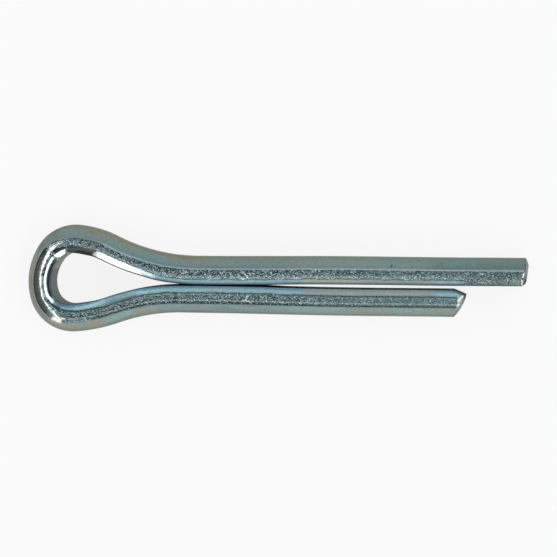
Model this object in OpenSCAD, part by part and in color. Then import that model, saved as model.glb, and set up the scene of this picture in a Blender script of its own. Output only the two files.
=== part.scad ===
// Cotter pin, also called a split pin, of nominal size 4 x 20.
// One length of half-round wire is bent flat side in: an eye, two necks and
// two legs that close up into a round shank. Sizes are in millimetres.
//
// The pin lies on its side, so its eye and legs are flat in XY. +X runs from
// the eye to the leg ends along the shank's axis, and +Y is the side of the
// long leg. The origin is on the axis, where the round shank starts.

/* [Wire] */
// Thickness of the half-round wire, from its flat to its crown
wire_t = 1.76; // [1.6:0.02:1.9]
// Radius of the wire's round side, half of the shank's diameter
wire_r = 1.8; // [1.7:0.05:2]
// Radius along the two edges of the wire's flat side
wire_edge_r = 0.4; // [0.2:0.05:0.7]

/* [Eye] */
// Outside width of the eye, across the shank's axis
eye_w = 6.7; // [6.2:0.1:7.4]
// How far the middle of the eye lies off the axis, towards the long leg
eye_rise = 0.3; // [0:0.05:0.6]
// Inside radius of the corner on the long leg's side
upper_corner_r = 1; // [0.6:0.1:1.5]
// Inside radius of the corner on the short leg's side
lower_corner_r = 1; // [0.6:0.1:1.5]
// Turn from the corner's widest point to the end bend, on the long leg's side
upper_turn = 56; // [50:1:66]
// Turn from the corner's widest point to the end bend, on the short leg's side
lower_turn = 74; // [64:1:80]

/* [Flanks and necks] */
// Steepest slope of the flank that leads to the long leg
upper_slope = 26.5; // [22:0.5:29]
// Steepest slope of the flank that leads to the short leg
lower_slope = 20; // [16:0.5:23]
// Angle through which the long leg's flank curves
upper_bow = 21; // [8:1:26]
// Angle through which the short leg's flank curves
lower_bow = 15; // [5:1:20]
// Radius of both necks, on the wire's flat
neck_r = 13.2; // [8:0.2:16]

/* [Legs] */
// Length of the shank, from its start to the tip of the short leg
shank_l = 16.6; // [8:0.2:60]
// How much further the long leg reaches
overhang = 3.9; // [1:0.1:5]
// Gap between the legs where the shank starts
leg_gap = 0.05; // [0.02:0.01:0.2]
// Angle by which each leg springs away from the axis
leg_splay = 0.25; // [0:0.05:0.5]

/* [Short leg's sheared end] */
// Height of the tip above the wire's flat
short_tip_h = 0.34; // [0.2:0.02:1]
// How far the lead-in runs back from the tip, at the flat
short_lead_l = 0.85; // [0.4:0.05:1.2]
// How far the shear leans back from the tip, at the crown
short_shear_l = 0.78; // [0.3:0.02:1.2]
// Length of the break on the shear's upper and lower edges
short_break_l = 0.34; // [0.1:0.02:0.6]
// Height of the break on the shear's upper and lower edges
short_break_h = 0.6; // [0.2:0.05:0.9]

/* [Long leg's cut end] */
// Height of the furthest point above the wire's flat
long_tip_h = 1.24; // [0.9:0.02:1.6]
// How far the cut leans back from the furthest point, at the flat
long_lean_l = 0.18; // [0.05:0.01:0.4]
// How far the crown's edge is rolled back from the furthest point
long_roll_l = 0.1; // [0.05:0.01:0.3]
// Length of the break on the cut's upper and lower edges
long_break_l = 0.16; // [0.05:0.01:0.4]
// Height of the break on the cut's upper and lower edges
long_break_h = 0.35; // [0.1:0.05:0.9]

/* [Hidden] */
$fn = 96;

// How much of a radius counts across the shank where a corner meets the end bend
upper_share = cos(upper_turn + leg_splay);
lower_share = cos(lower_turn + leg_splay);

// Radius of the end bend on its inside, to the nearest micron: it is what
// makes the eye as wide as it is between its two corners
end_bend_r = round(1000 * (eye_w - 2 * wire_t - upper_corner_r * (1 - upper_share)
    - lower_corner_r * (1 - lower_share)) / (upper_share + lower_share)) / 1000;

// Height of the end bend's centre above the shank's axis
end_y = eye_w / 2 + eye_rise - wire_t - upper_corner_r
    - (end_bend_r - upper_corner_r) * upper_share;

// Radius of each flank, and how far past the end bend's centre its leg starts
upper_flank_r = flank_r(upper_corner_r, upper_turn, upper_bow, upper_slope, leg_gap / 2 - end_y);
lower_flank_r = flank_r(lower_corner_r, lower_turn, lower_bow, lower_slope, leg_gap / 2 + end_y);
upper_leg_x = leg_start(upper_corner_r, upper_turn, upper_bow, upper_slope, upper_flank_r).x;
lower_leg_x = leg_start(lower_corner_r, lower_turn, lower_bow, lower_slope, lower_flank_r).x;
shank_x = max(upper_leg_x, lower_leg_x);

// Clearance by which a cutting shape stands past what it cuts
past = 1;

// Angle by which a bend laps over what it meets, far below any tolerance, so
// that the pieces of the wire join into one
lap = 0.000001;

// Direction square to a wire that falls at this slope, away from its flat
function outward(slope) = [sin(slope), cos(slope)];

// Where a leg starts, seen from the end bend's centre, with the shank along X
function leg_start(corner_r, turn, bow, slope, flank_r) =
    (end_bend_r - corner_r) * outward(-turn - leg_splay)
    + (corner_r - flank_r) * outward(slope - bow - leg_splay)
    + (flank_r + neck_r) * outward(slope - leg_splay)
    - neck_r * outward(-leg_splay);

// The flank's radius on the wire's flat, to the nearest micron, that starts the
// leg at this height: that height changes evenly with the radius
function flank_r(corner_r, turn, bow, slope, leg_y) =
    let (
        y_0 = leg_start(corner_r, turn, bow, slope, 0).y,
        y_1 = leg_start(corner_r, turn, bow, slope, 1).y
    )
    round(1000 * (leg_y - y_0) / (y_1 - y_0)) / 1000;

// The wire's section: its flat lies on the Y axis and its crown points to +X
module wire_section() {
    crown_x = wire_t - wire_r;
    edge_y = sqrt(pow(wire_r - wire_edge_r, 2) - pow(wire_edge_r - crown_x, 2));
    // angle at which the crown's arc runs into the edge's arc
    edge_a = atan2(edge_y, wire_edge_r - crown_x);
    difference() {
        intersection() {
            translate([crown_x, 0]) circle(wire_r);
            translate([0, -wire_r]) square([wire_t + past, 2 * wire_r]);
        }
        for (side = [0, 1]) mirror([0, side]) translate([wire_edge_r, edge_y])
            difference() {
                polygon([
                    [0, 0],
                    2 * wire_edge_r * [cos(edge_a), sin(edge_a)],
                    [-wire_edge_r - past, wire_edge_r + past],
                    [-wire_edge_r - past, 0]
                ]);
                circle(wire_edge_r);
            }
    }
}

// A straight run of wire along +X, with its flat on y = 0
module straight(length) {
    rotate([90, 0, 90]) linear_extrude(length) wire_section();
}

// A bend with the flat on its inside, about the origin, between two slopes
module bend(r, from, to) {
    rotate_extrude(angle = to - from + 2 * lap, start = 90 - to - lap)
        translate([r, 0]) wire_section();
}

// A neck below the origin, its flat on the outside, from a slope to the level
module neck(slope) {
    rotate_extrude(angle = slope + 2 * lap, start = 270 - slope - lap)
        translate([neck_r, 0]) mirror([1, 0]) wire_section();
}

// Moves its children by v, in hundredths and then by what is left of it, so
// that the pieces of the wire meet as exactly as they are worked out
module place(v) {
    hundredths = [for (n = v) round(100 * n) / 100];
    translate(hundredths) translate(v - hundredths) children();
}

// What a shear takes off a leg along +X: past the tip, in plan, and at the
// two edges that the break rounds off
module shear_waste(tip, flat_back, crown_back, break_l, break_h) {
    to_flat = [-flat_back, -tip.y];
    to_crown = [-crown_back, wire_t - tip.y];
    lean = tip.y < wire_t / 2 ? atan(-to_crown.x / to_crown.y) : atan(-to_flat.x / to_flat.y);
    far = wire_r + past;
    translate([0, 0, -far]) linear_extrude(2 * far) polygon([
        tip,
        tip + 2 * to_flat,
        [tip.x + far, tip.y + 2 * to_flat.y],
        [tip.x + far, tip.y + 2 * to_crown.y],
        tip + 2 * to_crown
    ]);
    translate(tip) rotate(lean) for (side = [0, 1]) mirror([0, 0, side])
        translate([0, 0, wire_r - break_h]) rotate([0, -atan(break_l / break_h), 0])
            translate([0, -far, -far]) cube([far, 2 * far, 3 * far]);
}

// One side of the pin, above the end bend's centre: half of the end bend, a
// corner, a flank and a neck, with the leg as its child
module arm(corner_r, turn, bow, slope, flank_r) {
    corner_c = (end_bend_r - corner_r) * outward(-turn);
    flank_c = corner_c + (corner_r - flank_r) * outward(slope - bow);
    neck_c = flank_c + (flank_r + neck_r) * outward(slope);
    rotate(leg_splay) {
        bend(end_bend_r, leg_splay - 90, -turn);
        place(corner_c) bend(corner_r, -turn, slope - bow);
        place(flank_c) bend(flank_r, slope - bow, slope);
        place(neck_c) {
            neck(slope);
            translate([0, -neck_r]) children();
        }
    }
}

module long_leg() {
    leg_l = shank_l + overhang + shank_x - upper_leg_x;
    difference() {
        straight(leg_l + past);
        shear_waste([leg_l, long_tip_h], long_lean_l, long_roll_l, long_break_l, long_break_h);
    }
}

module short_leg() {
    leg_l = shank_l + shank_x - lower_leg_x;
    difference() {
        straight(leg_l + past);
        shear_waste([leg_l, short_tip_h], short_lead_l, short_shear_l, short_break_l, short_break_h);
    }
}

module cotter_pin() {
    color([0.6, 0.67, 0.69]) translate([-shank_x, end_y]) {
        arm(upper_corner_r, upper_turn, upper_bow, upper_slope, upper_flank_r) long_leg();
        mirror([0, 1])
            arm(lower_corner_r, lower_turn, lower_bow, lower_slope, lower_flank_r) short_leg();
    }
}

cotter_pin();
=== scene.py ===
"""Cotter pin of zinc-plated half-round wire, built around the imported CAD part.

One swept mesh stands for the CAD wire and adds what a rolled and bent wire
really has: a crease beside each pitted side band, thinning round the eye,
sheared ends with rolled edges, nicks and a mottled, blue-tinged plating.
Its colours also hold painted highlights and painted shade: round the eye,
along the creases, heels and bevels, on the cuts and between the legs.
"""

import math
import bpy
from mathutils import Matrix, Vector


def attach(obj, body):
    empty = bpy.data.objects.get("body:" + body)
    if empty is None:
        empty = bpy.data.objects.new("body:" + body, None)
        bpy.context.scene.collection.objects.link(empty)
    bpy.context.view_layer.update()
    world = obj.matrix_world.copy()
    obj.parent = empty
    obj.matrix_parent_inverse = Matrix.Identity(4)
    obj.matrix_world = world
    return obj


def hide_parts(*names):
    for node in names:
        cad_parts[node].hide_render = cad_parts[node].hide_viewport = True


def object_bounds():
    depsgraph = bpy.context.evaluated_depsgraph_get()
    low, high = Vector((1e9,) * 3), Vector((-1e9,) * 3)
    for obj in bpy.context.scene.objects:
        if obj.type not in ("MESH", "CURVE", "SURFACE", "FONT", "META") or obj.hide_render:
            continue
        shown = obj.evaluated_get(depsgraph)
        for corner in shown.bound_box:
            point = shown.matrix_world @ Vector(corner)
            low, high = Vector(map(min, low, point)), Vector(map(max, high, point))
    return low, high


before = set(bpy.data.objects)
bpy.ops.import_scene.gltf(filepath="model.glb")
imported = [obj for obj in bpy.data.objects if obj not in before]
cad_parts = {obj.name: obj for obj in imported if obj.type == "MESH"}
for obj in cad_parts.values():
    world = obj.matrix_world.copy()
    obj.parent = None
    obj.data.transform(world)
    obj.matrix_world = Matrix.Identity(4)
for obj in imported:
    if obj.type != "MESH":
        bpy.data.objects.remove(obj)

from types import SimpleNamespace

import bpy
import numpy as np
from mathutils import Matrix, Vector

MM = 0.001
CAD_LOW, CAD_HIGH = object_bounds()

# ------------------------------------------------- the wire, as in part.scad (mm, degrees)
WIRE_T = 1.76
WIRE_R = 1.8
EYE_W = 6.7
EYE_RISE = 0.3
UPPER = {"corner_r": 1.0, "turn": 56.0, "slope": 26.5, "bow": 21.0}
LOWER = {"corner_r": 1.0, "turn": 74.0, "slope": 20.0, "bow": 15.0}
NECK_R = 13.2
SHANK_L = 16.6
OVERHANG = 3.9
LEG_GAP = 0.05
LEG_SPLAY = 0.25
# Each leg's end: the tip's height above the flat, how far the cut runs back from
# it at the flat and at the crown, and the break on the cut's upper and lower
# edges. The real shears are a little rounder than in the CAD: the crown's edge is
# drawn out along a curve, and the long leg's cut is worn at the flat and stands
# behind the CAD's.
# The break runs out towards the flat where there is a lead-in.
SHORT_END = {
    "tip_h": 0.34,
    "flat_back": 0.85,
    "crown_back": 0.69,
    "crown_curve": 1.5,
    "break_l": 0.34,
    "break_h": 0.6,
    "worn_l": 0.0,
    "worn_h": 0.3,
    "lead_in": 1,
    "behind": 0.0,
}
LONG_END = {
    "tip_h": 1.24,
    "flat_back": 0.18,
    "crown_back": 0.1,
    "crown_curve": 1.0,
    "break_l": 0.16,
    "break_h": 0.35,
    "worn_l": 0.1,
    "worn_h": 0.3,
    "lead_in": 0,
    "behind": 0.055,
}

# ------------------------------------------------- forms that the scene adds (mm)
INSET = 0.006  # the whole mesh is drawn in by this much
CUT_INSET = 0.002  # and its two cuts by this much
# The section changes from the short leg, round the eye and the flank, to the
# long leg. Its corners are the crease, where the crown meets the pitted band,
# the bevel's top, where that band ends, and the bevel's foot on the flat. The
# last two rows are how far the band and the bevel bulge between them.
STATIONS = {
    "length": (-4.0, -1.6, 1.6, 3.6, 7.5, 10.5),
    "crease_top_n": (1.13, 1.22, 1.22, 0.93, 0.93, 0.93),
    "crease_under_n": (0.93, 1.22, 1.22, 1.13, 1.13, 1.13),
    "bevel_n": (0.46, 0.46, 0.46, 0.46, 0.5, 0.37),
    "bevel_w": (1.7, 1.62, 1.62, 1.64, 1.64, 1.655),
    "foot_w": (1.53, 1.45, 1.45, 1.469, 1.451, 1.53),
    "band_crown": (0.012, 0.027, 0.027, 0.012, 0.012, 0.012),
    "bevel_crown": (0.012, 0.012, 0.012, 0.0015, 0.0015, 0.012),
}
# Where the section wanders from the stations: what changes, from where to where
# along the wire, with how soft an edge, and by how much.
WANDERS = (
    ("bevel_n", -7.2, -6.2, 1.2, 0.12),
    ("bevel_n", -3.4, -2.7, 0.4, -0.1),
    ("bevel_n", -1.9, -1.4, 0.4, 0.05),
    ("foot_w", -1.9, -1.4, 0.4, 0.015),
    ("bevel_n", 2.5, 3.1, 0.7, -0.1),
    ("foot_w", 2.3, 3.1, 0.4, 0.045),
    ("bevel_crown", 2.2, 3.1, 0.2, -0.009),
)
FOOT_N = 0.07  # height of the bevel's foot above the flat
HEEL_L = 1.2 * FOOT_N  # how far the rounded heel runs in under the foot
LEG_BOW = 0.035  # the legs bow outwards by this much
# Random patterns over the wire: the grain round it, and how many times longer it
# is along it. Their heights are in standard deviations.
COARSE_PITS, FINE_PITS, WANDER, SWELL = (0.085, 1.5), (0.055, 1.5), (0.7, 0.5), (2.5, 0.5)
SHEET_STEP = 0.025  # spacing of their samples
SEED = 4 * 20  # from the nominal size
BELL_WIDTH = 2.355  # width of a bell curve at half its height, in standard deviations
PIT_DEPTH = 0.013
PIT_TOP = 1.3  # above this height the ground between the pits is flat
SWELL_DEPTH = 0.0012
SPECK_DEPTH = 0.012
SCRATCH_RISE = 0.02
RING_STEP = 0.05  # spacing of the rings along the wire
EYE_THIN, EYE_THIN_REACH = 0.16, 2.1  # thinning of the wire at the middle of the eye
LEG_THIN = 0.024  # thinning of the legs
FLANK_THIN = 0.045  # and of the long leg's flank
LEG_BULGE = 0.018  # how far each leg's flat bulges where the shank starts
PRESSED_AT, PRESSED_REACH = -0.1, 3.0  # where the tool that bent the eye pressed it smooth
END_ZONE = 1.6  # the rings lean over to the cut's slope within this length
RIM_R = 0.05  # rolled edge round each cut
CAP_MIDDLE_N = 0.78  # height of the point to which a cut's rows are drawn in
CUT_ROUGH = 0.3  # the cuts are this rough, where the pitted bands are 1
WORN_L = 4.0  # the long leg's bevel is pitted too, this far back from its tip
GREY_FROM, GREY_TO = 7.0, 14.4  # the bevels are greyer between these places along the shank

# marks on one leg or the other: each end's place along the shank and zone, and the width
SCRATCHES = (
    ("long", (2.83, 1.22), (2.97, 1.28), 0.05),
    ("long", (2.95, 1.28), (3.32, 1.95), 0.028),
    ("long", (3.37, 1.3), (3.36, 1.55), 0.024),
    ("long", (-0.98, 1.5), (-0.62, 1.25), 0.032),
    ("short", (3.26, 1.85), (3.08, 1.52), 0.035),
    ("short", (2.92, 1.36), (3.32, 1.26), 0.03),
)
SPECKS = (("long", (-0.1, 0.2)), ("long", (12.1, 0.8)), ("long", (13.7, 0.4)))
SPECK_L, SPECK_R = 0.05, 0.06

# how many points the section has on each half, and how many rows each cut's edge and face have
ARC_POINTS, BAND_POINTS, BEVEL_POINTS, HEEL_POINTS, FLAT_POINTS = 10, 14, 8, 4, 3
RIM_ROWS, CUT_ROWS = 3, 13

# colours of the plating, of the grime on it and of the metal where the plating is rubbed off, and of
# painted highlights and painted shade
OLIVE = (0.235, 0.265, 0.205)
WARM = (0.43, 0.41, 0.33)
OLIVE_LIGHT = (0.34, 0.37, 0.3)
TEAL = (0.17, 0.25, 0.265)
PALE_TEAL = (0.255, 0.34, 0.33)
SKY = (0.21, 0.34, 0.375)
PALE_BLUE = (0.34, 0.42, 0.44)
BURNISHED = (0.38, 0.405, 0.4)
BROWN = (0.235, 0.22, 0.195)
BAND_TEAL = (0.12, 0.2, 0.22)
BLUE = (0.16, 0.26, 0.305)
DEEP_BLUE = (0.11, 0.2, 0.26)
GREY = (0.225, 0.25, 0.235)
# dark dirt in the pits and specks, also painted shade along the creases, heels and bevel edges,
# round the eye and between the legs
DIRT_AND_SHADE = (0.018, 0.04, 0.048)
UMBER = (0.04, 0.035, 0.027)
SAND = (0.34, 0.355, 0.29)
ICE = (0.275, 0.42, 0.39)
CREAM = (1.0, 0.95, 0.85)
DEEP_TEAL = (0.06, 0.11, 0.125)
GREY_GREEN = (0.22, 0.285, 0.27)
TEAL_GREY = (0.165, 0.245, 0.225)
TEAL_DARK = (0.135, 0.2, 0.195)
BLUE_CREASE = (0.16, 0.27, 0.285)
BEIGE = (0.3, 0.34, 0.305)
# worn grey near the long leg's tip, and painted shade above the eye's bright tail
WORN_AND_SHADE_GREY = (0.105, 0.14, 0.13)
DARK_STEEL = (0.1, 0.11, 0.11)
# painted highlight on the short leg's lead-in
LEAD_IN = (0.8, 0.88, 0.88)
INNER = (0.2, 0.25, 0.25)
INNER_WARM = (0.26, 0.245, 0.205)
RUSTY = (0.25, 0.2, 0.165)
PALE_HEEL = (0.5, 0.5, 0.45)
BROWN_CUT = (0.09, 0.09, 0.08)
SHADOW = (0.008, 0.008, 0.007)
SHADE = (0.05, 0.047, 0.042)
# painted light on the short leg's flat where the legs part
PALE_SHADE = (0.7, 0.68, 0.6)
# painted highlight along the crown's top
RIM_LIGHT = (0.5, 0.5, 0.42)
# bright metal of the scratches, and painted highlights round the eye
BRIGHT = (0.86, 0.88, 0.88)
# worn tips between the pits, painted light as sparkle, and painted highlight lines on the creases
WORN_AND_HIGHLIGHT = (0.52, 0.63, 0.64)
# painted highlight line beside the short leg's crease
HIGHLIGHT_LINE = (0.6, 0.6, 0.54)
GLINT = (1.0, 1.0, 1.0)

EDGE_TINT = (0.5, 0.51, 0.49)  # the metal's tint where the light only grazes it
SKIN_BUMP, GRIT_BUMP = 0.01, 0.085  # depth of the skin's fine lines and of the grit (mm)

PAPER = (0.93, 0.93, 0.93)  # the floor's own colour
FLOOR_WHITE = (0.96, 0.96, 0.96)  # and the plain white that the camera sees instead
FLOOR_WHITE_SHARE = 0.9  # how much of what it sees is that white
FLOOR_HALF = 1.5  # half of the floor's side (m)


# ------------------------------------------------- helpers
def smooth(x, low, high):
    """0 up to low, 1 from high on, and eased in between."""
    t = np.clip((x - low) / (high - low), 0, 1)
    return t * t * (3 - 2 * t)


def hump(x, low, high, edge):
    """1 between low and high, with soft edges outside them."""
    return smooth(x, low - edge, low) * (1 - smooth(x, high, high + edge))


def smooth_between(x, places, values):
    """Values that ease from one place to the next."""
    made = np.full(x.shape, values[0])
    for low, high, step in zip(places, places[1:], np.diff(values)):
        made += step * smooth(x, low, high)
    return made


# ------------------------------------------------- the path, worked out as in part.scad
def outward(slope):
    """Direction square to a wire that falls at this slope, away from its flat."""
    a = np.radians(slope)
    return np.stack([np.sin(a), np.cos(a)], -1)


def forward(slope):
    """Direction along a wire that falls at this slope."""
    a = np.radians(slope)
    return np.stack([np.cos(a), -np.sin(a)], -1)


def share(turn):
    """How much of a radius counts across the shank where a corner meets the end bend."""
    return math.cos(math.radians(turn + LEG_SPLAY))


def to_micron(value):
    """The CAD rounds what it works out to the nearest micron."""
    return round(1000 * value) / 1000


END_BEND_R = to_micron(
    (
        EYE_W
        - 2 * WIRE_T
        - UPPER["corner_r"] * (1 - share(UPPER["turn"]))
        - LOWER["corner_r"] * (1 - share(LOWER["turn"]))
    )
    / (share(UPPER["turn"]) + share(LOWER["turn"]))
)
END_Y = (
    EYE_W / 2
    + EYE_RISE
    - WIRE_T
    - UPPER["corner_r"]
    - (END_BEND_R - UPPER["corner_r"]) * share(UPPER["turn"])
)


def leg_start(arm, flank_r):
    """Where a leg starts, seen from the end bend's centre, with the shank along X."""
    return (
        (END_BEND_R - arm["corner_r"]) * outward(-arm["turn"] - LEG_SPLAY)
        + (arm["corner_r"] - flank_r) * outward(arm["slope"] - arm["bow"] - LEG_SPLAY)
        + (flank_r + NECK_R) * outward(arm["slope"] - LEG_SPLAY)
        - NECK_R * outward(-LEG_SPLAY)
    )


def fit_flank(arm, leg_y):
    """The flank's radius that starts the leg at this height."""
    y_0, y_1 = leg_start(arm, 0.0)[1], leg_start(arm, 1.0)[1]
    return to_micron((leg_y - y_0) / (y_1 - y_0))


UPPER["flank_r"] = fit_flank(UPPER, LEG_GAP / 2 - END_Y)
LOWER["flank_r"] = fit_flank(LOWER, LEG_GAP / 2 + END_Y)
UPPER["leg_x"] = leg_start(UPPER, UPPER["flank_r"])[0]
LOWER["leg_x"] = leg_start(LOWER, LOWER["flank_r"])[0]
SHANK_X = max(UPPER["leg_x"], LOWER["leg_x"])
UPPER["leg_l"] = SHANK_L + OVERHANG + SHANK_X - UPPER["leg_x"]
LOWER["leg_l"] = SHANK_L + SHANK_X - LOWER["leg_x"]


def arm_path(arm):
    """Flat points, slopes and lengths along one arm, from the eye's middle to the leg's tip."""
    corner_c = (END_BEND_R - arm["corner_r"]) * outward(-arm["turn"])
    flank_c = corner_c + (arm["corner_r"] - arm["flank_r"]) * outward(arm["slope"] - arm["bow"])
    neck_c = flank_c + (arm["flank_r"] + NECK_R) * outward(arm["slope"])
    arcs = [
        (np.zeros(2), END_BEND_R, LEG_SPLAY - 90, -arm["turn"]),
        (corner_c, arm["corner_r"], -arm["turn"], arm["slope"] - arm["bow"]),
        (flank_c, arm["flank_r"], arm["slope"] - arm["bow"], arm["slope"]),
        (neck_c, -NECK_R, arm["slope"], 0.0),
    ]
    points, slopes, lengths = [], [], []
    run = 0.0
    for centre, radius, start, stop in arcs:
        length = abs(radius + WIRE_T / 2) * math.radians(abs(stop - start))
        count = max(2, round(length / RING_STEP))
        at = np.arange(count) / count
        slope = start + (stop - start) * at
        points.append(centre + radius * outward(slope))
        slopes.append(slope)
        lengths.append(run + length * at)
        run += length
    count = round(arm["leg_l"] / RING_STEP)
    along = np.linspace(0, arm["leg_l"], count + 1)
    leg_from = neck_c - np.array([0, NECK_R])
    points.append(leg_from + along[:, None] * np.array([1.0, 0.0]))
    slopes.append(np.zeros(count + 1))
    lengths.append(run + along)
    turn = math.radians(LEG_SPLAY)
    spin = np.array([[math.cos(turn), math.sin(turn)], [-math.sin(turn), math.cos(turn)]])
    return np.concatenate(points) @ spin, np.concatenate(slopes) - LEG_SPLAY, np.concatenate(lengths)


def wire_path():
    """Flat points, crown directions, headings and lengths, from the short leg's tip onwards."""
    low_p, low_s, low_l = arm_path(LOWER)
    up_p, up_s, up_l = arm_path(UPPER)
    flip = np.array([1.0, -1.0])
    point = np.concatenate([(low_p * flip)[:0:-1], up_p]) + np.array([-SHANK_X, END_Y])
    crown = np.concatenate([(outward(low_s) * flip)[:0:-1], outward(up_s)])
    head = np.concatenate([-(forward(low_s) * flip)[:0:-1], forward(up_s)])
    length = np.concatenate([-low_l[:0:-1], up_l])
    return point, crown, head, length


# ------------------------------------------------- the section
def eased(count):
    """Steps from 0 to 1, closer together at both ends."""
    t = np.arange(1, count + 1) / count
    return t - 0.06 * np.sin(2 * math.pi * t)


def half_section(crease_n, station):
    """One half of the section at every ring: height above the flat, reach across and zones.

    The zone counts 0 at the crown's top, 1 at the crease, 2 where the pitted
    band meets the bevel, 3 where the bevel meets the flat and 4 in mid-flat.
    """
    crown_n = WIRE_T - WIRE_R
    crease_a = np.arccos((crease_n - crown_n) / WIRE_R)[:, None]
    share_a = 1 - (1 - np.linspace(0, 1, ARC_POINTS)[None, :]) ** 1.5
    arc = np.stack(
        [crown_n + WIRE_R * np.cos(crease_a * share_a), WIRE_R * np.sin(crease_a * share_a)], -1
    )
    bevel_top = np.stack([station["bevel_n"], station["bevel_w"]], -1)
    foot = np.stack([np.full(len(arc), FOOT_N), station["foot_w"]], -1)
    parts, zones = [arc], [share_a[0]]
    runs = (
        (arc[:, -1], bevel_top, BAND_POINTS, station["band_crown"]),
        (bevel_top, foot, BEVEL_POINTS, station["bevel_crown"]),
    )
    for zone, (start, stop, count, crown) in enumerate(runs, 1):
        step = eased(count)
        run = stop - start
        across = np.stack([-run[:, 1], run[:, 0]], -1) / np.linalg.norm(run, axis=1)[:, None]
        across *= np.where(across[:, 1:] < 0, -1, 1)
        bulge = (4 * step * (1 - step))[None, :, None] * crown[:, None, None] * across[:, None, :]
        parts.append(start[:, None, :] + step[None, :, None] * run[:, None, :] + bulge)
        zones.append(zone + step)
    foot_w = station["foot_w"][:, None]
    turn = np.linspace(0, math.pi / 2, HEEL_POINTS + 1)[None, 1:]
    heel_w = foot_w - HEEL_L * (1 - np.cos(turn))
    parts.append(np.stack([FOOT_N * (1 - np.sin(turn)) + 0 * heel_w, heel_w], -1))
    flat_w = (foot_w - HEEL_L) * (1 - np.arange(1, FLAT_POINTS + 1)[None, :] / FLAT_POINTS)
    parts.append(np.stack([0 * flat_w, flat_w], -1))
    zones.append(3 + 0.4 * np.arange(1, HEEL_POINTS + 1) / HEEL_POINTS)
    zones.append(3.4 + 0.6 * np.arange(1, FLAT_POINTS + 1) / FLAT_POINTS)
    return np.concatenate(parts, 1), np.concatenate(zones)


def full_section(length):
    """The closed section at every ring, with its zones, outward directions and girth."""
    places = np.array(STATIONS["length"])
    station = {key: smooth_between(length, places, np.array(STATIONS[key])) for key in STATIONS}
    for key, low, high, edge, change in WANDERS:
        station[key] = station[key] + change * hump(length, low, high, edge)
    top, zone = half_section(station["crease_top_n"], station)
    under, _ = half_section(station["crease_under_n"], station)
    under = under[:, -2:0:-1] * np.array([1.0, -1.0])
    section = np.concatenate([top, under], 1)
    zone = np.concatenate([zone, -zone[-2:0:-1]])
    run = np.roll(section, -1, 1) - np.roll(section, 1, 1)
    out = np.stack([run[..., 1], -run[..., 0]], -1)
    out /= np.linalg.norm(out, axis=-1, keepdims=True)
    mean = section.mean(0)
    girth = np.concatenate([[0], np.cumsum(np.linalg.norm(np.roll(mean, -1, 0) - mean, axis=1))])
    return section, zone, out, girth


# ------------------------------------------------- relief and marks
def sheet(shape, grain, stretch, seed):
    """Seeded random relief, blurred to a grain in mm, with mean 0 and spread 1."""
    white = np.random.default_rng(seed).standard_normal(shape)
    f_long = np.fft.fftfreq(shape[0], SHEET_STEP)[:, None] * stretch
    f_round = np.fft.rfftfreq(shape[1], SHEET_STEP)[None, :]
    blur = np.exp(-2 * (math.pi * grain / BELL_WIDTH) ** 2 * (f_long**2 + f_round**2))
    made = np.fft.irfft2(np.fft.rfft2(white) * blur, shape)
    return (made - made.mean()) / made.std()


def read_sheet(values, along, around):
    """Bilinear reading of a sheet at lengths in mm."""
    i = along / SHEET_STEP
    j = around / SHEET_STEP
    i0 = np.clip(np.floor(i).astype(int), 0, values.shape[0] - 2)
    j0 = np.clip(np.floor(j).astype(int), 0, values.shape[1] - 2)
    fi, fj = np.clip(i - i0, 0, 1), np.clip(j - j0, 0, 1)
    return (
        values[i0, j0] * (1 - fi) * (1 - fj)
        + values[i0 + 1, j0] * fi * (1 - fj)
        + values[i0, j0 + 1] * (1 - fi) * fj
        + values[i0 + 1, j0 + 1] * fi * fj
    )


def random_patterns(along, girth_at, girth):
    """The four seeded patterns, read at every point of the wire."""
    shape = (int(along[-1, 0] / SHEET_STEP) + 3, int(girth / SHEET_STEP) + 3)
    patterns = enumerate((COARSE_PITS, FINE_PITS, WANDER, SWELL), SEED)
    return [
        read_sheet(sheet(shape, grain, stretch, seed), along, girth_at)
        for seed, (grain, stretch) in patterns
    ]


def stroke(along, around, start, stop, width):
    """Soft mask of a scratch between two places on the unrolled wire."""
    start, stop = np.array(start), np.array(stop)
    run = stop - start
    share_of_run = ((along - start[0]) * run[0] + (around - start[1]) * run[1]) / (run @ run)
    t = np.clip(share_of_run, 0, 1)
    gap = np.hypot(along - start[0] - t * run[0], around - start[1] - t * run[1])
    return np.exp(-((gap / width) ** 2))


def scratches(length, point, zone, girth, along, girth_at):
    """Masks of the bright scratches and the dark specks, placed along the shank and by zone."""
    top = slice(0, int(np.argmax(zone)) + 1)

    def place(leg, x, zone_at):
        on_leg = length > 0 if leg == "long" else length < 0
        ring = np.argmin(np.where(on_leg, np.abs(point[:, 0] - x), np.inf))
        return length[ring] - length[0], np.interp(zone_at, zone[top], girth[:-1][top])

    bright = np.zeros_like(along)
    for leg, start, stop, width in SCRATCHES:
        mark = stroke(along, girth_at, place(leg, *start), place(leg, *stop), width)
        bright = np.maximum(bright, mark)
    dark = np.zeros_like(along)
    for leg, at in SPECKS:
        start = place(leg, *at)
        stop = (start[0] + SPECK_L, start[1] + SPECK_L)
        dark = np.maximum(dark, stroke(along, girth_at, start, stop, SPECK_R))
    return bright, dark


def pressed_share(length, zone=0.0):
    """How flat the bending tool pressed the wire: further along the long leg and mid-band."""
    reach = PRESSED_REACH + 0.7 * hump(zone, 1.1, 1.75, 0.1) - 0.5 * (length < 0)
    return np.exp(-(((length - PRESSED_AT) / reach) ** 6))


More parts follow.
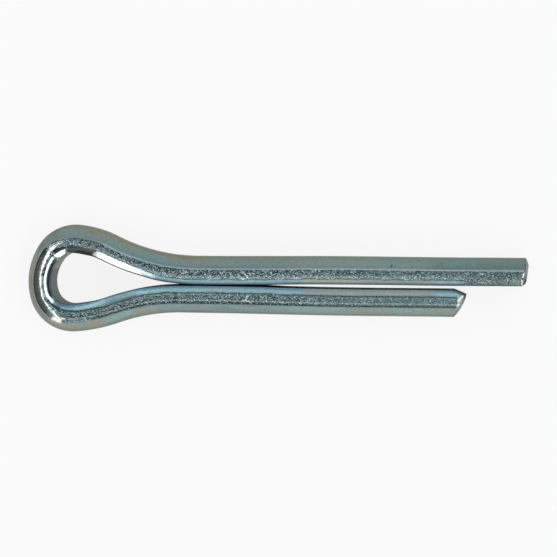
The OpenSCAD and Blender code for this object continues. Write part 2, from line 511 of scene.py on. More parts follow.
def roughness(zone, length, x, wander):
    """How deep the pits go, from 0 to 1: on the side bands and on the long leg's worn end."""
    to_long_tip = length[-1] - length
    worn = (1 - smooth(to_long_tip, WORN_L - 0.4, WORN_L)) * smooth(zone, 1, 1.05)
    worn = worn * (1 - smooth(zone, 3.1, 3.3))
    rough = smooth(zone, 1.0, 1.06) * (1 - smooth(zone + 0.06 * wander, 1.8, 2.15))
    rough = np.maximum(rough, worn)
    rough = rough * (1 - pressed_share(length, zone) * (0.96 - 0.5 * hump(zone, 1.84, 2.0, 0.06)))
    return rough * (1 - 0.3 * smooth(x, 5.0, 8.0)) * (1 - 0.15 * (length < 0))


# ------------------------------------------------- the body and its cuts
def thinning(length, x):
    """How far the flat side gives way: round the eye, and along the legs and a flank."""
    thin = EYE_THIN * np.exp(-((length / EYE_THIN_REACH) ** 2))
    thin = thin + LEG_THIN * smooth(x, 4.0, 7.5) - LEG_BULGE * hump(x, 0.5, 4.0, 1.5)
    return thin + FLANK_THIN * hump(length, 5.5, 8.5, 1.0)


def cut_back(end, n, w):
    """How far behind the leg's tip the cut lies at this place in the section."""
    flat = end["flat_back"] * np.maximum(0, end["tip_h"] - n) / end["tip_h"]
    up = np.maximum(0, n - end["tip_h"]) / (WIRE_T - end["tip_h"])
    crown = end["crown_back"] * up ** end["crown_curve"]
    broken = np.maximum(0, np.abs(w) - (WIRE_R - end["break_h"])) * end["break_l"] / end["break_h"]
    broken = broken * (1 - end["lead_in"] * (1 - smooth(n, 0.22, 0.42)))
    worn = end["worn_l"] * np.maximum(0, 1 - n / end["worn_h"]) ** 2
    return flat + crown + broken + worn + end["behind"]


def shape_body():
    """Rings of points along the whole wire, with what the looks need to know at each point."""
    point, crown, head, length = wire_path()
    section, zone, outs, girth = full_section(length)
    rings, around = section.shape[:2]
    along = np.repeat((length - length[0])[:, None], around, 1)
    girth_at = np.repeat(girth[None, :-1], rings, 0)
    side_zone = np.repeat(np.abs(zone)[None, :], rings, 0)
    coarse, fine, wander, swell = random_patterns(along, girth_at, girth[-1])
    rough = roughness(side_zone, length[:, None], point[:, :1], wander)
    pits = np.minimum(0.35 * coarse + 0.65 * fine, PIT_TOP)
    scratch, speck = scratches(length, point, zone, girth, along, girth_at)
    relief = -INSET + rough * PIT_DEPTH * (pits - PIT_TOP) + SWELL_DEPTH * np.minimum(swell, 0)
    relief = relief - SPECK_DEPTH * speck
    relief = np.minimum(relief + SCRATCH_RISE * scratch, -INSET)

    thin = thinning(length, point[:, 0])[:, None]
    height = thin + (WIRE_T - thin) * section[..., 0] / WIRE_T + relief * outs[..., 0]
    reach = section[..., 1] + relief * outs[..., 1]

    # the legs bow a little, and the last rings lean over to each cut
    on_leg = np.clip((point[:, 0] - 1.0) / (SHANK_L - 1.0), 0, 1)
    height += (LEG_BOW * np.sin(math.pi * on_leg) ** 2)[:, None]
    shift = np.zeros((rings, around))
    for end, tip, side in ((SHORT_END, length[0], 1), (LONG_END, length[-1], -1)):
        in_zone = np.clip(1 - side * (length - tip) / END_ZONE, 0, 1)[:, None]
        shift += side * in_zone * (cut_back(end, height, reach) + RIM_R)

    flat = point[:, None, :] + height[..., None] * crown[:, None, :]
    flat = flat + shift[..., None] * head[:, None, :]
    body = {
        "at": np.concatenate([flat, reach[..., None]], -1),
        "n": height,
        "w": reach,
        "out": outs,
        "zone": side_zone,
        "length": np.repeat(length[:, None], around, 1),
        "x": np.repeat(point[:, :1], around, 1),
        "rough": rough,
        "pits": pits,
        "wander": wander,
        "scratch": scratch,
        "speck": speck,
        "along": along,
        "girth": girth,
    }
    return body, point, crown, head


def shape_cap(body, point, crown, head, end, k, side):
    """Rows of points over a cut: its rolled edge, then the face drawn in to one point."""
    rim_n, rim_w, out = body["n"][k], body["w"][k], body["out"][k]
    rows = []
    for a in np.linspace(0, math.pi / 2, RIM_ROWS + 1)[1:]:
        inset = RIM_R * (1 - math.cos(a))
        back = RIM_R * (1 - math.sin(a))
        rows.append((rim_n - inset * out[:, 0], rim_w - inset * out[:, 1], back))
    edge_n, edge_w, _ = rows[-1]
    for f in np.linspace(1, 0, CUT_ROWS + 2)[1:-1]:
        rows.append((CAP_MIDDLE_N + (edge_n - CAP_MIDDLE_N) * f, edge_w * f, 0.0))
    rows.append((np.array([CAP_MIDDLE_N]), np.zeros(1), 0.0))
    made = []
    for row_n, row_w, back in rows:
        behind = side * (cut_back(end, row_n, row_w) + back + CUT_INSET)
        at = point[k] + row_n[:, None] * crown[k] + behind[:, None] * head[k]
        made.append((np.concatenate([at, row_w[:, None]], -1), row_n, row_w))
    return made


def join_faces(rings, around, caps):
    """Faces of the body and then of both caps, each row of a cap joined to the one before."""
    ring = np.arange(around)
    after = (ring + 1) % around
    index = np.arange(rings)[:, None] * around
    here, there = index[:-1], index[1:]
    quads = np.stack([here + ring, here + after, there + after, there + ring], -1)
    faces = quads.reshape(-1, 4).tolist()
    start = rings * around
    for made, k, side in caps:
        previous = k * around + ring
        for row in made:
            if len(row[0]) == 1:
                both = (previous, np.full(around, start), previous[after])
            else:
                ids = start + ring
                both = (previous, ids, ids[after], previous[after])
                previous = ids
            start += len(row[0])
            faces += np.stack(both if side == 1 else both[::-1], -1).tolist()
    return faces


# ------------------------------------------------- colours over the plating
def paint(coat, mask, colour):
    """Lay a colour over the coat, whose last channel is how much of the plating it hides."""
    mask = np.clip(mask, 0, 1)[:, None]
    layer = np.concatenate([np.broadcast_to(colour, (len(coat), 3)), np.ones((len(coat), 1))], 1)
    coat[:] = coat * (1 - mask) + layer * mask


def spot(p, along, zones):
    """Mask of a patch: from, to and soft edge along the wire, and the same by zone."""
    return p.on_body * hump(p.length, *along) * hump(p.zone, *zones)


def curve(p, along, places, zones, width):
    """Mask of a soft line that runs from zone to zone between places along the wire."""
    middle = smooth_between(p.length, places, zones)
    return p.on_body * hump(p.length, *along) * np.exp(-(((p.zone - middle) / width) ** 2))


def paint_crown(coat, p):
    """The plating's tint changes along the round side, and a painted highlight lies along the
    crown's top.
    """
    crown = p.on_body * (1 - smooth(p.zone, 0.93, 1.0))
    long, short = p.long * crown, p.short * crown
    near_tip = long * smooth(p.x, 13.8, 15.4)
    paint(coat, long * smooth(p.x, 4.0, 7.0) * 0.6, GREY_GREEN)
    paint(coat, near_tip * 0.65, TEAL_GREY)
    paint(coat, near_tip * smooth(p.zone, 0.5, 0.7) * 0.8, TEAL_DARK)
    by_neck = smooth(p.zone, 0.55, 0.85) * (1 - smooth(p.x, 3.0, 6.0))
    paint(coat, long * by_neck * 0.5, BLUE_CREASE)
    paint(coat, short * smooth(p.x, 4.0, 8.0) * 0.7, BEIGE)
    lower = short * smooth(p.zone, 0.2, 0.6)
    paint(coat, lower * hump(p.x_drift, 5.9, 9.0, 0.6) * 0.4, ICE)
    paint(coat, lower * hump(p.x_drift, 12.4, 14.2, 0.7) * 0.35, ICE)
    drift = p.length + 0.3 * p.wander + 0.8 * (p.zone - 0.5)
    paint(coat, crown * hump(drift, -5.0, -2.4, 0.7) * 0.75, SAND)
    paint(coat, crown * hump(drift, -8.6, -7.4, 0.4) * 0.5, SAND)
    paint(coat, crown * hump(drift, -6.9, -5.4, 0.4) * smooth(p.zone, 0.35, 0.6) * 0.7, ICE)
    blue = long * hump(p.zone, 0.35, 0.75, 0.15)
    paint(coat, blue * hump(p.x_drift, 11.6, 12.9, 0.6) * 0.6, BLUE_CREASE)
    paint(coat, blue * hump(p.x_drift, 15.2, 16.6, 0.5) * 0.5, BLUE_CREASE)
    paint(coat, crown * hump(p.length, 1.9, 2.9, 0.5) * 0.6, TEAL_DARK)
    # painted highlight along the crown's top
    paint(coat, p.on_body * (1 - smooth(p.zone, 0.0, 0.4)) * 0.5, RIM_LIGHT)


def paint_pressed(coat, p):
    """Bare metal where the bending tool pressed, between painted shade lines along the crease, the
    band's edge and the heel.
    """
    paint(coat, p.pressed * hump(p.zone, 1.0, 2.0, 0.1) * 0.8, BURNISHED)
    paint(coat, p.pressed * spot(p, (-2.0, 3.1, 0.2), (2.0, 2.9, 0.1)) * 0.8, BURNISHED)
    paint(coat, p.pressed * hump(p.zone, 1.1, 1.45, 0.1) * 0.5, OLIVE_LIGHT)
    # painted shade: dark lines along the crease, the band's edge and the heel
    paint(coat, p.pressed * hump(p.zone, 1.02, 1.12, 0.04) * 0.85, DIRT_AND_SHADE)
    paint(coat, p.pressed * hump(p.zone, 1.84, 1.98, 0.05) * (0.6 - 0.4 * p.pits), DIRT_AND_SHADE)
    short_side = p.pressed * (1 - smooth(p.length, 1.4, 2.0))
    paint(coat, short_side * hump(p.zone, 2.66, 3.2, 0.08) * 0.75, DIRT_AND_SHADE)
    paint(coat, spot(p, (-5.8, -2.5, 0.3), (1.88, 2.02, 0.07)) * 0.9, DIRT_AND_SHADE)


def paint_bevels(coat, p):
    """The painted white highlight streak on the long leg's flank, with its slanted end, its painted
    pale blue tail and painted shade above it, and both legs' bevels.
    """
    # painted highlight: the flank's white streak and its pale blue tail, with painted shade above it
    paint(coat, p.flank * hump(p.zone, 2.06, 2.9, 0.06) * 0.9, PALE_BLUE)
    slanted_end = 1 - smooth(p.length + 0.8 * (2.5 - p.zone), 7.8, 8.5)
    paint(coat, spot(p, (5.7, 9.0, 0.15), (2.14, 2.92, 0.06)) * slanted_end, GLINT)
    paint(coat, spot(p, (6.6, 9.0, 0.5), (1.6, 2.04, 0.08)) * 0.45, DEEP_TEAL)
    paint(coat, p.long * (1 - p.pressed) * hump(p.zone, 1.75, 2.1, 0.2) * 0.5, PALE_BLUE)
    along_shank = 0.35 + 0.2 * smooth(p.x, 3.0, 6.0)
    paint(coat, p.short * hump(p.zone, 1.0, 2.0, 0.05) * along_shank, DEEP_TEAL)
    sandy = hump(p.x_drift, 7.2, 10.2, 0.8) * hump(p.zone, 2.0, 2.8, 0.15)
    paint(coat, p.long * sandy * 0.5, SAND)
    paint(coat, p.long * smooth(p.x, 16.1, 17.1) * hump(p.zone, 1.7, 3.2, 0.2) * 0.9, WORN_AND_SHADE_GREY)
    paint(coat, p.long * smooth(p.x, 19.2, 20.0) * hump(p.zone, 2.0, 3.2, 0.2) * 0.5, SAND)


def paint_pits_and_shade(coat, p):
    """Grime and painted shade in the pits, painted shade on the long leg's band by the crease, and
    worn tips between the pits painted light as sparkle.
    """
    upper_half = 1 - 0.5 * p.long * smooth(p.zone, 1.5, 1.8)
    paint(coat, 0.9 * np.clip(-p.pits, 0, 1) * p.rough * upper_half, DIRT_AND_SHADE)
    # painted shade: the long leg's band darker beside the crease
    band_shade = smooth(p.length, 6.0, 10.0) * (0.55 - 0.2 * smooth(p.x, 5.0, 8.0)) * p.on_body
    paint(coat, band_shade * hump(p.zone, 1.06, 1.5, 0.25), DIRT_AND_SHADE)
    # worn tips, painted light as sparkle
    high = np.clip(1.6 * (p.pits - 0.6), 0, 1) * p.rough
    paint(coat, (0.8 - 0.4 * p.short) * high, WORN_AND_HIGHLIGHT)


def paint_bends(coat, p):
    """Painted shade and painted highlights round the eye, and the two thin painted highlight tails
    of its bright band.
    """
    paint(coat, spot(p, (-3.8, -2.4, 0.4), (1.95, 2.1, 0.05)) * 0.85, DIRT_AND_SHADE)
    paint(coat, spot(p, (-2.45, -2.1, 0.15), (2.1, 2.45, 0.12)) * 0.9, DIRT_AND_SHADE)
    paint(coat, spot(p, (2.2, 3.1, 0.2), (2.25, 2.9, 0.08)) * 0.7, BRIGHT)
    paint(coat, spot(p, (1.88, 2.02, 0.07), (1.95, 2.6, 0.1)) * 0.85, DIRT_AND_SHADE)
    paint(coat, spot(p, (-3.2, -2.1, 0.3), (1.25, 1.95, 0.08)) * 0.6, DEEP_TEAL)
    paint(coat, curve(p, (-3.0, -2.25, 0.15), (-2.7, -2.1), (1.28, 1.62), 0.065) * 0.95, BRIGHT)
    tail_at = smooth_between(p.length, (1.8, 3.1), (1.6, 1.3))
    # painted shade over the reflection above the tail
    paint(coat, spot(p, (1.7, 2.7, 0.2), (1.03, tail_at - 0.16, 0.06)) * 0.85, WORN_AND_SHADE_GREY)
    paint(coat, curve(p, (2.3, 3.0, 0.2), (1.8, 3.1), (1.6, 1.3), 0.065) * 0.95, GLINT)
    paint(coat, spot(p, (-2.0, -1.35, 0.3), (2.05, 2.32, 0.08)) * 0.8, DEEP_TEAL)


def paint_lines(coat, p):
    """Thin painted shade lines along the creases and the bevel's top, and thin painted highlight
    lines beside and on the creases.
    """
    lined = (1 - smooth(p.length, -5.2, -4.5)) * p.on_body
    paint(coat, lined * hump(p.zone, 1.0, 1.13, 0.04) * (0.75 + 0.25 * p.pits), DIRT_AND_SHADE)
    fading = 1 - smooth(p.x, 5.0, 8.0)
    paint(coat, lined * hump(p.zone, 1.05, 1.17, 0.04) * fading * 0.6, DIRT_AND_SHADE)
    # painted highlight line beside the short leg's crease
    paint(coat, p.short * hump(p.zone, 1.25, 1.3, 0.03) * (0.5 + 0.1 * p.pits), HIGHLIGHT_LINE)
    by_neck = (1 - smooth(p.x, 4.0, 7.0)) * (0.4 - 0.3 * p.pits)
    paint(coat, p.short * hump(p.zone, 1.36, 1.5, 0.05) * by_neck, DIRT_AND_SHADE)
    paint(coat, p.short * hump(p.zone, 1.94, 2.0, 0.05) * (0.6 + 0.3 * p.pits), DIRT_AND_SHADE)
    paint(coat, spot(p, (2.6, 5.5, 0.5), (1.0, 1.08, 0.04)) * (0.6 - 0.35 * p.pits), DIRT_AND_SHADE)
    on_long_crease = smooth(p.length, 5.0, 6.0) * p.on_body * hump(p.zone, 0.95, 1.0, 0.03)
    # painted highlight along the long leg's crease
    paint(coat, on_long_crease * 0.4, WORN_AND_HIGHLIGHT)


def paint_wedge(coat, p):
    """The slanted dark wedge by the long leg's flank, with painted shadow at its foot, a dark band
    that dips into it and a painted highlight line along its top.
    """
    slant = p.length + 0.3 * (p.zone - 2.0)
    wedge = hump(slant, 3.3, 5.45, 0.2) * hump(p.zone, 2.05, 3.0, 0.1) * p.on_body
    paint(coat, wedge * 0.92, UMBER)
    paint(coat, spot(p, (3.5, 5.0, 0.4), (2.65, 2.9, 0.1)) * 0.6, SHADOW)
    paint(coat, curve(p, (3.6, 5.2, 0.3), (3.5, 5.0), (2.7, 2.15), 0.22) * 0.9, BROWN_CUT)
    dark_band_at = smooth_between(p.length, (2.3, 2.9, 3.9), (1.82, 1.92, 2.08))
    paint(coat, spot(p, (2.3, 3.9, 0.3), (dark_band_at - 0.15, dark_band_at + 0.13, 0.08)) * 0.95, DIRT_AND_SHADE)
    paint(coat, curve(p, (4.2, 5.6, 0.3), (4.1, 5.8), (1.92, 1.72), 0.08) * 0.75, DIRT_AND_SHADE)
    # painted highlight line along the bevel's top
    paint(coat, spot(p, (4.0, 5.4, 0.4), (1.98, 2.04, 0.04)) * 0.6, WORN_AND_HIGHLIGHT)
    # and a painted warm highlight in the crease by the short leg's flank
    paint(coat, spot(p, (-2.84, -2.34, 0.06), (0.93, 1.2, 0.05)), CREAM)


def paint_flat(coat, p):
    """The flat side and its rounded heel, with painted shade along the heels and between the legs
    where they close, painted light on the short leg's flat where they part, and then the marks.
    """
    inner = smooth(p.zone, 3.2, 3.5) * p.on_body
    paint(coat, inner, INNER)
    paint(coat, inner * (1 - smooth(p.w, 0.3, 1.1)) * 0.9, INNER_WARM)
    paint(coat, inner * hump(p.length, -2.6, -1.4, 0.5) * 0.5, RUSTY)
    heel = smooth(p.zone, 2.95, 3.15) * p.on_body
    paint(coat, heel * hump(p.length, 1.3, 3.4, 0.5) * 0.6, PALE_HEEL)
    legs = smooth(np.abs(p.length), 2.5, 4.5) * p.on_body
    closed = 1 - smooth(p.x, 4.0, 6.0)
    # painted shade along the heels where the legs close
    closed_shade = (0.5 + 0.35 * p.long) * closed
    paint(coat, legs * hump(p.zone, 3.05, 3.4, 0.12) * closed_shade, DIRT_AND_SHADE)
    paint(coat, p.flank * hump(p.zone, 3.02, 3.4, 0.05) * 0.95, SHADOW)
    paint(coat, p.long * hump(p.zone, 2.85, 3.4, 0.12) * (1 - closed) * 0.6, DEEP_TEAL)
    # painted shade between the legs, and painted light on the short leg's flat beyond
    between_legs = smooth(p.zone, 3.4, 3.5) * p.on_body * smooth(p.x, -2.5, -1.0)
    paint(coat, between_legs, SHADE)
    paint(coat, between_legs * (1 - closed) * p.short, PALE_SHADE)
    paint(coat, between_legs * (1 - closed) * p.long, TEAL_GREY)
    paint(coat, p.scratch, BRIGHT)
    paint(coat, p.speck, DIRT_AND_SHADE)


def paint_short_cut(coat, p):
    """The short leg's shear: dark, with its lead-in painted pale as a highlight, a painted highlight
    on its break and a painted white highlight wedge along its edge.
    """
    cut, n, w = p.end == 1, p.n, p.w
    paint(coat, cut * 0.9, DIRT_AND_SHADE)
    paint(coat, cut * (1 - smooth(n, 0.5, 0.7)) * 0.9, DARK_STEEL)
    # painted highlights: the break, the wedge along the edge and a spot above it
    paint(coat, cut * smooth(w, 1.12, 1.2), PALE_BLUE)
    edge_at = smooth_between(n, (0.4, 0.65), (1.28, 1.52))
    wedge = np.exp(-(((w - edge_at) / 0.12) ** 2)) * hump(n, 0.34, 0.76, 0.05)
    paint(coat, cut * 1.5 * wedge, GLINT)
    paint(coat, cut * smooth(w, 1.25, 1.35) * hump(n, 0.9, 1.02, 0.04), GLINT)
    lead_in = cut * (1 - smooth(n, 0.24, 0.34))
    paint(coat, lead_in, DARK_STEEL)
    # painted highlight on the lead-in
    paint(coat, lead_in * smooth(w, 0.4, 0.6), LEAD_IN)


def paint_long_cut(coat, p):
    """The long leg's cut: brown, with pits and glints along its rolled edge."""
    cut = p.end == 2
    paint(coat, cut, BROWN_CUT)
    pitted = cut * smooth(p.zone, 1.0, 1.1) * smooth(p.w, 1.3, 1.4)
    paint(coat, pitted * np.clip(0.5 - p.pits, 0, 1) * 0.8, DIRT_AND_SHADE)
    glints = hump(p.n, 0.6, 0.85, 0.06) + hump(p.n, 0.15, 0.4, 0.06)
    paint(coat, cut * p.rim * smooth(p.zone, 1.0, 1.2) * glints * 0.9, GLINT)


def coat_of(points):
    """Colours that lie over the plating, and how much of it they hide."""
    p = SimpleNamespace(**points)
    p.w = np.abs(p.w)
    p.on_body = p.end == 0
    p.short = (1 - smooth(p.length, -3.5, -2.0)) * p.on_body
    p.long = smooth(p.length, 2.0, 3.5) * p.on_body
    p.flank = hump(p.length, 5.0, 9.0, 0.6) * p.on_body
    p.pressed = pressed_share(p.length) * p.on_body
    p.x_drift = p.x + 0.4 * p.wander
    coat = np.zeros((len(p.zone), 4))
    for layer in (
        paint_crown,
        paint_pressed,
        paint_bevels,
        paint_pits_and_shade,
        paint_bends,
        paint_lines,
        paint_wedge,
        paint_flat,
        paint_short_cut,
        paint_long_cut,
    ):
        layer(coat, p)
    coat[:, :3] /= np.maximum(coat[:, 3:], 1e-4)
    return coat


# ------------------------------------------------- the mesh
def unwrap(mesh, body, n_quads, mid_x):
    """One map in mm along and round the wire, and one that fills the unit square for baking."""
    along, girth = body["along"], body["girth"]
    rings, around = along.shape
    u0, u1 = along[:-1], along[1:]
    v0 = np.broadcast_to(girth[None, :-1], (rings - 1, around))
    v1 = np.broadcast_to(girth[None, 1:], (rings - 1, around))
    sides = [np.stack(corner, -1) for corner in ((u0, v0), (u0, v1), (u1, v1), (u1, v0))]
    body_uv = np.stack(sides, -2).reshape(-1, 2)
    loop_vert = np.zeros(len(mesh.loops), int)
    mesh.loops.foreach_get("vertex_index", loop_vert)
    co = np.zeros(3 * len(mesh.vertices))
    mesh.vertices.foreach_get("co", co)
    cap_co = (co.reshape(-1, 3)[loop_vert] / MM)[4 * n_quads :]
    uv = np.concatenate([body_uv, cap_co[:, 1:]])
    mesh.uv_layers.new(name="wire_mm").data.foreach_set("uv", uv.astype(np.float32).reshape(-1))

    # for baking, the wire lies in rows one above the other, and the two cuts above them
    rows, margin, row_h, row_w, row_inset = 3, 0.006, 0.29, 0.97, 0.015
    row_l = along[-1, 0] / rows
    quad_u = body_uv[:, 0].reshape(-1, 4)
    row = np.clip(np.floor(quad_u.mean(1) / row_l), 0, rows - 1)[:, None]
    bake_u = margin + (1 - 2 * margin) * ((quad_u / row_l - row) * row_w + row_inset)
    quad_v = body_uv[:, 1].reshape(-1, 4) / girth[-1]
    bake_v = margin + row * (row_h + 2 * margin) + row_h * quad_v
    cap_scale, short_u, long_u, cap_v = 0.02, 0.09, 0.3, 0.945
    cap_u = np.where(cap_co[:, 0] > mid_x, long_u, short_u) + cap_co[:, 1] * cap_scale
    on_body = np.stack([bake_u, bake_v], -1).reshape(-1, 2)
    on_caps = np.stack([cap_u, cap_v + cap_co[:, 2] * cap_scale], -1)
    bake = np.concatenate([on_body, on_caps]).astype(np.float32)
    mesh.uv_layers.new(name="OFBake").data.foreach_set("uv", bake.reshape(-1))


def gather_points(body, caps):
    """All points in the mesh's order, and what the looks need to know at each of them."""
    keys = ("n", "w", "zone", "length", "x", "rough", "pits", "wander", "scratch", "speck")
    p = {key: [body[key].reshape(-1)] for key in keys}
    count = body["n"].size
    p["end"], p["rim"] = [np.zeros(count)], [np.zeros(count)]
    verts = [body["at"].reshape(-1, 3)]
    for which, (made, k, _) in enumerate(caps, 1):
        for row_number, (at, row_n, row_w) in enumerate(made):
            verts.append(at)
            count = len(at)
            row_value = {"n": row_n, "w": row_w, "rough": np.full(count, CUT_ROUGH)}
            for key in keys:
                p[key].append(row_value.get(key, body[key][k][:count]))
            p["end"].append(np.full(count, which))
            p["rim"].append(np.full(count, float(row_number < RIM_ROWS)))
    return np.concatenate(verts), {key: np.concatenate(values) for key, values in p.items()}


def build_wire():
    """The whole pin as one mesh, with the maps and masks that its material reads."""
    body, point, crown, head = shape_body()
    rings, around = body["n"].shape
    ends = ((SHORT_END, 0, 1), (LONG_END, rings - 1, -1))
    caps = [(shape_cap(body, point, crown, head, end, k, side), k, side) for end, k, side in ends]
    verts, p = gather_points(body, caps)

    mesh = bpy.data.meshes.new("pin_wire")
    mesh.from_pydata((verts * MM).tolist(), [], join_faces(rings, around, caps))
    mesh.validate()
    mesh.polygons.foreach_set("use_smooth", np.ones(len(mesh.polygons), bool))

    floats = {
        "rough": p["rough"],
        "turned": p["zone"],
        "short": 1 - smooth(p["length"], -4.0, -2.0),
        "eye": pressed_share(p["length"]),
        "blue": 1 - hump(p["x"], GREY_FROM, GREY_TO, 0.8),
    }
    for name, values in floats.items():
        layer = mesh.attributes.new(name, "FLOAT", "POINT")
        layer.data.foreach_set("value", values.astype(np.float32))
    coat = mesh.attributes.new("coat", "FLOAT_COLOR", "POINT")
    coat.data.foreach_set("color", coat_of(p).astype(np.float32).reshape(-1))

    unwrap(mesh, body, (rings - 1) * around, (point[0, 0] + point[-1, 0]) / 2)
    mesh.update()

    piece = bpy.data.objects.new("pin_wire", mesh)
    bpy.context.scene.collection.objects.link(piece)
    return piece


# ------------------------------------------------- material
def rgba(value):
    """A plain colour with its alpha, or what a socket takes as it is."""
    return (*value, 1) if isinstance(value, tuple) else value


class Nodes:
    """Short calls for a node tree."""

    def __init__(self, tree):
        self.tree = tree
        tree.nodes.clear()

    def add(self, kind, inputs=(), **settings):
        node = self.tree.nodes.new(kind)
        for key, value in settings.items():
            setattr(node, key, value)
        for key, value in dict(inputs).items():
            self.set(node, key, value)
        return node

    def set(self, node, key, value):
        socket = node.inputs[key]
        if isinstance(value, bpy.types.NodeSocket):
            self.tree.links.new(value, socket)
        else:
            socket.default_value = value

    def math(self, operation, a, b=0.0, c=0.0):
        return self.add("ShaderNodeMath", {0: a, 1: b, 2: c}, operation=operation).outputs[0]

    def plus(self, a, b):
        return self.math("ADD", a, b)

    def minus(self, a, b):
        return self.math("SUBTRACT", a, b)

    def times(self, a, b):
        return self.math("MULTIPLY", a, b)

    def mix(self, factor, a, b):
        node = self.add("ShaderNodeMix", data_type="RGBA")
        self.set(node, "Factor", factor)
        self.set(node, 6, rgba(a))
        self.set(node, 7, rgba(b))
        return node.outputs[2]

    def ramp(self, value, low, high, to_low=0.0, to_high=1.0):
        ends = {"From Min": low, "From Max": high, "To Min": to_low, "To Max": to_high}
        node = self.add(
            "ShaderNodeMapRange", {"Value": value, **ends}, interpolation_type="SMOOTHSTEP"
        )
        return node.outputs["Result"]

    def noise(self, vector, scale, detail=3.0, roughness=0.55, stretch=(1, 1, 1)):
        spread = self.add("ShaderNodeMapping", {"Vector": vector, "Scale": stretch})
        node = self.add(
            "ShaderNodeTexNoise",
            {"Vector": spread.outputs[0], "Scale": scale, "Detail": detail, "Roughness": roughness},
        )
        return node.outputs["Fac"]

    def attribute(self, name):
        return self.add("ShaderNodeAttribute", attribute_name=name).outputs["Fac"]


def plating_colour(t, p):
    """The plating's own tints: olive to teal round the crown, blue to grey on the bevel."""
    around = t.plus(p["turned"], t.times(t.minus(p["blotch"], 0.5), 1.1))
    around = t.plus(around, t.times(t.minus(p["streak"], 0.5), 0.5))
    around = t.plus(around, t.times(p["short"], 0.3))
    colour = t.mix(t.ramp(around, 0.3, 0.95), OLIVE, t.mix(p["short"], TEAL, PALE_TEAL))
    colour = t.mix(t.times(p["eye"], t.ramp(p["turned"], 0.5, 1.1, 0.8, 0.0)), colour, WARM)
    colour = t.mix(t.times(t.ramp(p["patch"], 0.52, 0.66), 0.55), colour, BROWN)
    colour = t.mix(t.times(t.ramp(p["patch"], 0.48, 0.36), 0.5), colour, BLUE)
    bevel = t.mix(t.ramp(p["turned"], 2.45, 3.0), SKY, DEEP_BLUE)
    bevel = t.mix(t.times(t.minus(1.0, p["blue"]), 0.75), bevel, GREY)
    bevel = t.mix(t.times(t.ramp(p["patch"], 0.5, 0.7), 0.35), bevel, GREY)
    colour = t.mix(t.ramp(p["turned"], 1.75, 2.05), colour, bevel)
    band = t.times(t.ramp(p["turned"], 0.98, 1.05), t.ramp(p["turned"], 1.6, 1.9, 0.6, 0.0))
    return t.mix(band, colour, BAND_TEAL)


def coated_colour(t, p, colour):
    """Grit darkened with grime and painted shade, then the coat, then grit tips lightened as worn
    metal and painted sparkle, and an uneven tone over all.
    """
    # grime and painted shade in the grit
    grit_dark = t.times(p["rough"], t.ramp(p["grit"], 0.38, 0.52, 0.85, 0.0))
    colour = t.mix(grit_dark, colour, DIRT_AND_SHADE)
    coat = t.add("ShaderNodeAttribute", attribute_name="coat").outputs
    colour = t.mix(coat["Alpha"], colour, coat["Color"])
    # worn grit tips, painted light as sparkle
    grit_light = t.times(p["rough"], t.ramp(p["grit"], 0.54, 0.66, 0.0, 0.6))
    colour = t.mix(grit_light, colour, WORN_AND_HIGHLIGHT)
    shade = t.ramp(t.noise(p["wire"], 5.0, detail=3, roughness=0.6), 0.3, 0.7, 0.9, 1.1)
    scaled = t.add("ShaderNodeVectorMath", {0: colour, "Scale": shade}, operation="SCALE")
    return scaled.outputs[0]


def plated_zinc():
    """Zinc-plated wire: mottled and streaked, rough with grit where the mask says so."""
    material = bpy.data.materials.new("zinc_plated_wire")
    material.use_nodes = True
    t = Nodes(material.node_tree)
    p = {name: t.attribute(name) for name in ("rough", "turned", "short", "eye", "blue")}
    p["wire"] = wire = t.add("ShaderNodeUVMap", uv_map="wire_mm").outputs[0]
    p["blotch"] = t.noise(wire, 0.55, detail=5, roughness=0.6, stretch=(0.5, 1, 1))
    p["patch"] = t.noise(wire, 0.9, detail=4, roughness=0.55, stretch=(0.35, 1.2, 1))
    p["streak"] = t.noise(wire, 1.0, detail=3, stretch=(0.15, 9, 1))
    p["grit"] = t.noise(wire, 13.0, detail=1, roughness=0.6, stretch=(0.65, 1.25, 1))
    grain = t.noise(wire, 9.0, detail=2, roughness=0.6)
    colour = coated_colour(t, p, plating_colour(t, p))

    gloss = t.ramp(p["streak"], 0.3, 0.7, 0.2, 0.28)
    gloss = t.minus(gloss, t.times(p["rough"], 0.1))
    gloss = t.minus(gloss, t.times(p["eye"], 0.13))
    gloss = t.plus(gloss, t.ramp(p["turned"], 3.2, 3.5, 0.0, 0.4))

    scratchy = t.plus(t.times(p["streak"], 0.6), t.times(grain, 0.4))
    skin = t.add(
        "ShaderNodeBump", {"Strength": 0.12, "Distance": SKIN_BUMP * MM, "Height": scratchy}
    )
    bump = t.add(
        "ShaderNodeBump",
        {
            "Strength": p["rough"],
            "Distance": GRIT_BUMP * MM,
            "Height": p["grit"],
            "Normal": skin.outputs[0],
        },
    )
    shader = t.add(
        "ShaderNodeBsdfPrincipled",
        {
            "Base Color": colour,
            "Metallic": 1.0,
            "Roughness": gloss,
            "Specular Tint": rgba(EDGE_TINT),
            "Normal": bump.outputs[0],
        },
    )
    t.add("ShaderNodeOutputMaterial", {"Surface": shader.outputs[0]})
    return material


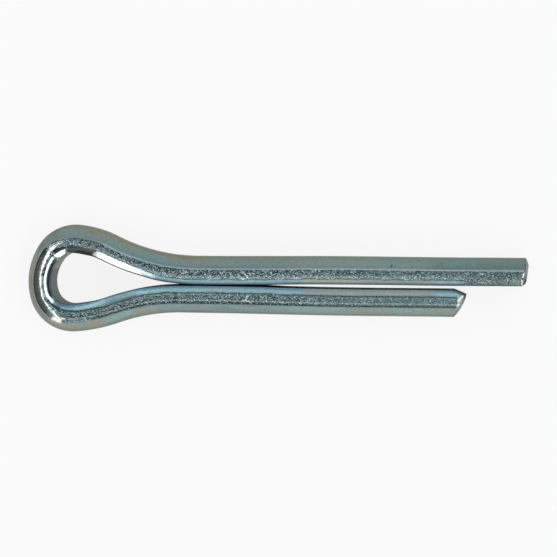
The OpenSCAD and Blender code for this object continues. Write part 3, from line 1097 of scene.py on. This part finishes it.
def pale_floor(low):
    """A plain floor at this height: paper to the light, and nearly white to look at."""
    material = bpy.data.materials.new("pale_floor")
    material.use_nodes = True
    t = Nodes(material.node_tree)
    paper = t.add("ShaderNodeBsdfDiffuse", {"Color": rgba(PAPER)})
    white = t.add("ShaderNodeEmission", {"Color": rgba(FLOOR_WHITE), "Strength": 1.0})
    path = t.add("ShaderNodeLightPath")
    seen = t.math("MAXIMUM", path.outputs["Is Camera Ray"], path.outputs["Is Glossy Ray"])
    seen = t.math("MAXIMUM", seen, path.outputs["Is Transmission Ray"])
    both = t.add("ShaderNodeMixShader", {0: t.times(seen, FLOOR_WHITE_SHARE)})
    t.tree.links.new(paper.outputs[0], both.inputs[1])
    t.tree.links.new(white.outputs[0], both.inputs[2])
    t.add("ShaderNodeOutputMaterial", {"Surface": both.outputs[0]})
    signs = ((-1, -1), (1, -1), (1, 1), (-1, 1))
    corners = [(x * FLOOR_HALF, y * FLOOR_HALF, low) for x, y in signs]
    mesh = bpy.data.meshes.new("floor")
    mesh.from_pydata(corners, [], [(0, 1, 2, 3)])
    mesh.materials.append(material)
    floor = bpy.data.objects.new("floor", mesh)
    bpy.context.scene.collection.objects.link(floor)


# ------------------------------------------------- light and camera (degrees)
# Each softbox: azimuth of its middle and its width, zenith angles of its top and
# bottom, its level and its soft edge.
SOFTBOXES = (
    (92, 66, 33, 57, 1.3, 4),
    (274, 56, 33, 57, 1.3, 4),
    (179.5, 127, 48.5, 55, 6.0, 1.2),
    (0, 112, 27, 40, 5.0, 1.2),
    (294, 30, 36, 47, 5.5, 1.5),
)
DARK_CEILING = 0.22
TOP_LIGHT = 0.6  # level of the small light right overhead
HORIZON = 0.92
DARK_SIDE = (176, 100, 0.2)  # azimuth and width of the dark side, and its level
LIGHT_TINT = (0.98, 0.99, 1.0)


def studio_world():
    """A dark ceiling with softboxes in it, one dark side and a pale horizon."""
    world = bpy.data.worlds.new("studio")
    world.use_nodes = True
    t = Nodes(world.node_tree)
    direction = t.add("ShaderNodeTexCoord").outputs["Generated"]
    parts = t.add("ShaderNodeSeparateXYZ", {"Vector": direction})
    x, y, z = (parts.outputs[k] for k in "XYZ")
    zenith = t.math("DEGREES", t.math("ARCCOSINE", t.math("MINIMUM", z, 1.0)))
    azimuth = t.math("DEGREES", t.math("ARCTAN2", y, x))

    def within(middle, wide, edge):
        turned = t.math("WRAP", t.minus(azimuth, middle), 180.0, -180.0)
        return t.ramp(t.math("ABSOLUTE", turned), wide / 2 - edge, wide / 2 + edge, 1.0, 0.0)

    side_at, side_wide, side_level = DARK_SIDE
    side = within(side_at, side_wide, 6)
    open_side = t.ramp(zenith, 56, 60, DARK_CEILING, HORIZON)
    dark_side = t.ramp(zenith, 77, 82, side_level, HORIZON)
    level = t.plus(open_side, t.times(side, t.minus(dark_side, open_side)))
    level = t.math("MAXIMUM", level, t.ramp(zenith, 10, 18, TOP_LIGHT, 0.0))
    for middle, wide, high, low, radiance, edge in SOFTBOXES:
        inside = t.times(within(middle, wide, edge), t.ramp(zenith, high - edge, high + edge))
        inside = t.times(inside, t.ramp(zenith, low - edge, low + edge, 1.0, 0.0))
        level = t.math("MAXIMUM", level, t.times(inside, radiance))
    shader = t.add("ShaderNodeBackground", {"Color": rgba(LIGHT_TINT), "Strength": level})
    t.add("ShaderNodeOutputWorld", {"Surface": shader.outputs[0]})
    bpy.context.scene.world = world


def photo_camera():
    """Nearly overhead, a little towards the legs' tips and the long leg's side."""
    to_tips, to_long_leg, roll = 6.5, 2.0, 0.42
    distance, field = 350 * MM, 34.63 * MM
    aim = Vector((4.95, 0.413, 0.0)) * MM
    camera = bpy.data.cameras.new("camera")
    camera.sensor_width = 36.0
    camera.angle = 2 * math.atan(field / 2 / distance)
    camera.clip_start = 5 * MM
    camera.dof.use_dof = False
    holder = bpy.data.objects.new("camera", camera)
    turn = (
        Matrix.Rotation(math.radians(to_tips), 4, "Y")
        @ Matrix.Rotation(math.radians(-to_long_leg), 4, "X")
        @ Matrix.Rotation(math.radians(roll), 4, "Z")
    )
    holder.matrix_world = Matrix.Translation(aim) @ turn @ Matrix.Translation((0, 0, distance))
    bpy.context.scene.collection.objects.link(holder)
    bpy.context.scene.camera = holder


photo_camera()
pin = build_wire()
pin.data.materials.append(plated_zinc())
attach(pin, "root")
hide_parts("cotter_pin")

pale_floor(CAD_LOW.z)
studio_world()

bpy.context.scene.view_settings.view_transform = "Standard"
